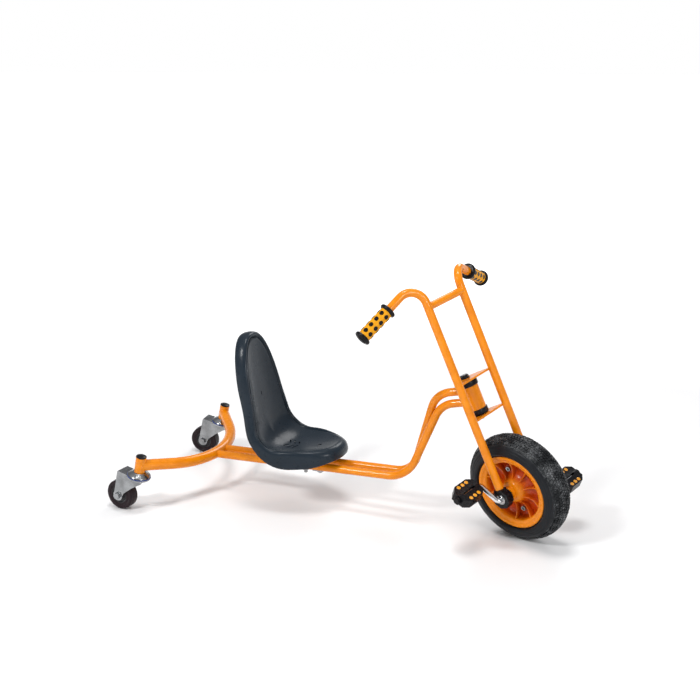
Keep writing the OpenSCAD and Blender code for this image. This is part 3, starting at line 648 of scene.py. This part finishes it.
def buildSeat():
    rings = seatRings()
    bm = bmesh.new()
    count = seat["round"]
    bmesh.ops.create_grid(bm, x_segments=count, y_segments=len(rings) - 1, size=0.5)
    for v in bm.verts:
        i = round((v.co.x + 0.5) * count)
        k = round((v.co.y + 0.5) * (len(rings) - 1))
        v.co = seatPoint(i, *rings[k])
    bmesh.ops.remove_doubles(bm, verts=bm.verts, dist=0.00002)
    bmesh.ops.dissolve_degenerate(bm, edges=bm.edges, dist=0.00001)
    bmesh.ops.recalc_face_normals(bm, faces=bm.faces)
    shell = looseObject("seatShell", bm)
    cuts = bmesh.new()
    for row, long, floor in ((-1, 17, 124.5), (0, 20, 123.3), (1, 17, 123.6)):
        for hand in (-1, 1):  # three arrowheads of grooves in the dip
            x = seat["grooveMiddle"] + seat["grooveStep"] * row
            spread = Matrix.Translation((x * mm, hand * seat["grooveApart"] * mm, (floor + 10) * mm))
            spread = spread @ Matrix.Rotation(math.radians(180 - hand * seat["grooveTurn"]), 4, "Z")
            addBox(cuts, (long, seat["grooveWide"], 20), spread @ Matrix.Translation((long / 2 * mm, 0, 0)))
    x, z = seat["slotAt"]
    addBox(cuts, seat["slotSize"], Matrix.Translation((x * mm, 0, z * mm)))
    x, z = seat["panHoleAt"]
    addPeg(cuts, seat["panHole"], seat["panHole"], 30, Matrix.Translation((x * mm, 0, z * mm)))
    bmesh.ops.recalc_face_normals(cuts, faces=cuts.faces)
    combine(shell, looseObject("seatCuts", cuts), "DIFFERENCE")
    bm = bmesh.new()
    bm.from_mesh(shell.data)
    bpy.data.objects.remove(shell)
    finishPiece("seat_moulding", bm, "frame", seatMoulding, replaces=("seat_shell",), sharpAt=42)


buildSeat()
print("seat made")

# The rest keeps its CAD shape, with softened edges and its own finish
finishOf = {
    "orange_paint": orangePaint, "black_plastic": blackPlastic, "seat_plastic": seatMoulding,
    "grip_rubber": gripRubber, "black_rubber": blackRubber, "tyre": tyreRubber, "rim_plastic": rimOrange,
    "zinc": zincPlate, "chrome": chromePlate, "reflector": amberReflector, "blue_seal": blueSeal,
    "castor_rubber": castorRubber, "grey_nylon": greyNylon,
}
softEdge = {
    "yoke_plate_upper": 0.8, "yoke_plate_lower": 0.8, "seat_bracket": 0.6, "seat_clamp_plates": 0.5,
    "seat_bolts": 0.4, "seat_nuts": 0.4, "castor_race_left": 0.6, "castor_race_right": 0.6,
    "castor_kingpins": 0.4, "king_bolt": 0.5, "king_nut": 0.5, "rim_bolts": 0.5, "axle_washers": 0.3,
    "rim_nuts": 0.4, "pedal_nuts": 0.7, "pedal_left": 1.0, "pedal_right": 1.0, "castor_fork_left": 0.7,
    "castor_fork_right": 0.7, "castor_axle_left": 0.6, "castor_axle_right": 0.6, "axle_housing_left": 1.0,
    "axle_housing_right": 1.0, "head_bush_upper": 0.8, "head_bush_lower": 0.8, "stem_caps": 0.6,
    "reflectors_left": 0.6, "reflectors_right": 0.6, "castor_seal_left": 0.5, "castor_seal_right": 0.5,
    "castor_hub_left": 0.4, "castor_hub_right": 0.4, "grip_dots": 0.25, "seat_spacers": 0.5,
}
replacedNodes = {"tyre", "rim_left", "rim_right", "seat_shell"}
hiddenInside = {"inner_tube"}
for part in frame["record"]["subparts"]:
    node, slotName = part["node"], part["material_slot"]
    if node in replacedNodes:
        continue
    if node in hiddenInside:  # out of sight, so the CAD mesh only takes the finish
        own = frame["nodes"][node].data.materials
        own.clear()
        own.append(finishOf[slotName])
        continue
    smoothCopy(node, finishOf[slotName], softEdge.get(node, 0.0) * mm)
print("carried-over parts dressed")


# Floor, light, camera
studio = {
    "floorSize": 80.0, "floorTones": (0.86, 0.89), "glowFrom": 1.1, "glowTo": 2.6, "glow": 0.8,
    "skyTones": ((0.10, (1.0, 1.0, 1.0)), (0.22, (0.30, 0.30, 0.31)), (0.60, (0.30, 0.30, 0.31)),
                 (0.95, (0.62, 0.62, 0.63))),
    "lamps": (  # name, place, aim, size, power
        ("keyLight", (-1.6, -2.4, 2.6), (-0.35, 0.0, 0.2), 0.7, 60),
        ("fillLight", (2.4, -1.6, 1.7), (-0.2, 0.0, 0.25), 0.8, 26),
        ("backLight", (-0.4, 2.4, 2.2), (-0.35, 0.0, 0.3), 1.4, 26),
        ("topLight", (-0.3, -0.2, 2.8), (-0.33, 0.0, 0.2), 0.8, 26),
    ),
    "cameraAt": (0.3584, -1.7850, 0.9013), "cameraAim": (-0.3315, 0.0, 0.250), "lens": 50.84,
    "cameraShift": (-0.0331, 0.0708),
}


def buildStudio():
    bm = bmesh.new()
    bmesh.ops.create_grid(bm, x_segments=1, y_segments=1, size=studio["floorSize"])
    floor = looseObject("floor", bm)
    mat, tree, shader = newMaterial("floorFinish")
    place = objectPlace(tree)
    dark, pale = studio["floorTones"]
    tones = rampOf(tree, noiseAt(tree, place, 3.0), [(0.3, (dark, dark, dark)), (0.7, (pale, pale, pale))])
    tree.links.new(tones, shader.inputs["Base Color"])
    setShader(shader, Roughness=0.65, Specular_IOR_Level=0.25, Emission_Color=(1.0, 1.0, 1.0, 1.0))
    away = tree.nodes.new("ShaderNodeVectorMath")
    away.operation = "LENGTH"
    tree.links.new(place, away.inputs[0])
    glow = rangeOf(tree, away.outputs["Value"], 0.0, studio["glow"], fromLow=studio["glowFrom"],
                   fromHigh=studio["glowTo"])
    tree.links.new(glow, shader.inputs["Emission Strength"])
    floor.data.materials.append(mat)
    world = bpy.data.worlds.new("studio")
    world.use_nodes = True
    sky = world.node_tree
    way = sky.nodes.new("ShaderNodeTexCoord")
    apart = sky.nodes.new("ShaderNodeSeparateXYZ")
    sky.links.new(way.outputs["Generated"], apart.inputs["Vector"])
    sky.links.new(rampOf(sky, apart.outputs["Z"], studio["skyTones"]), sky.nodes["Background"].inputs["Color"])
    sky.nodes["Background"].inputs["Strength"].default_value = 1.0
    scene.world = world
    for name, at, aim, size, power in studio["lamps"]:
        lamp = bpy.data.lights.new(name, "AREA")
        lamp.shape = "DISK"
        lamp.size = size
        lamp.energy = power
        made = bpy.data.objects.new(name, lamp)
        made.location = at
        made.rotation_euler = (Vector(aim) - Vector(at)).to_track_quat("-Z", "Y").to_euler()
        scene.collection.objects.link(made)


def buildCamera():
    data = bpy.data.cameras.new("viewCamera")
    data.sensor_width = 36.0
    data.lens = studio["lens"]
    data.shift_x, data.shift_y = studio["cameraShift"]
    data.clip_start, data.clip_end = 0.05, 200.0
    camera = bpy.data.objects.new("viewCamera", data)
    camera.location = studio["cameraAt"]
    aim = Vector(studio["cameraAim"]) - camera.location
    camera.rotation_euler = aim.to_track_quat("-Z", "Y").to_euler()
    scene.collection.objects.link(camera)
    scene.camera = camera


buildStudio()
buildCamera()
scene.view_settings.view_transform = "Standard"
print("studio made")
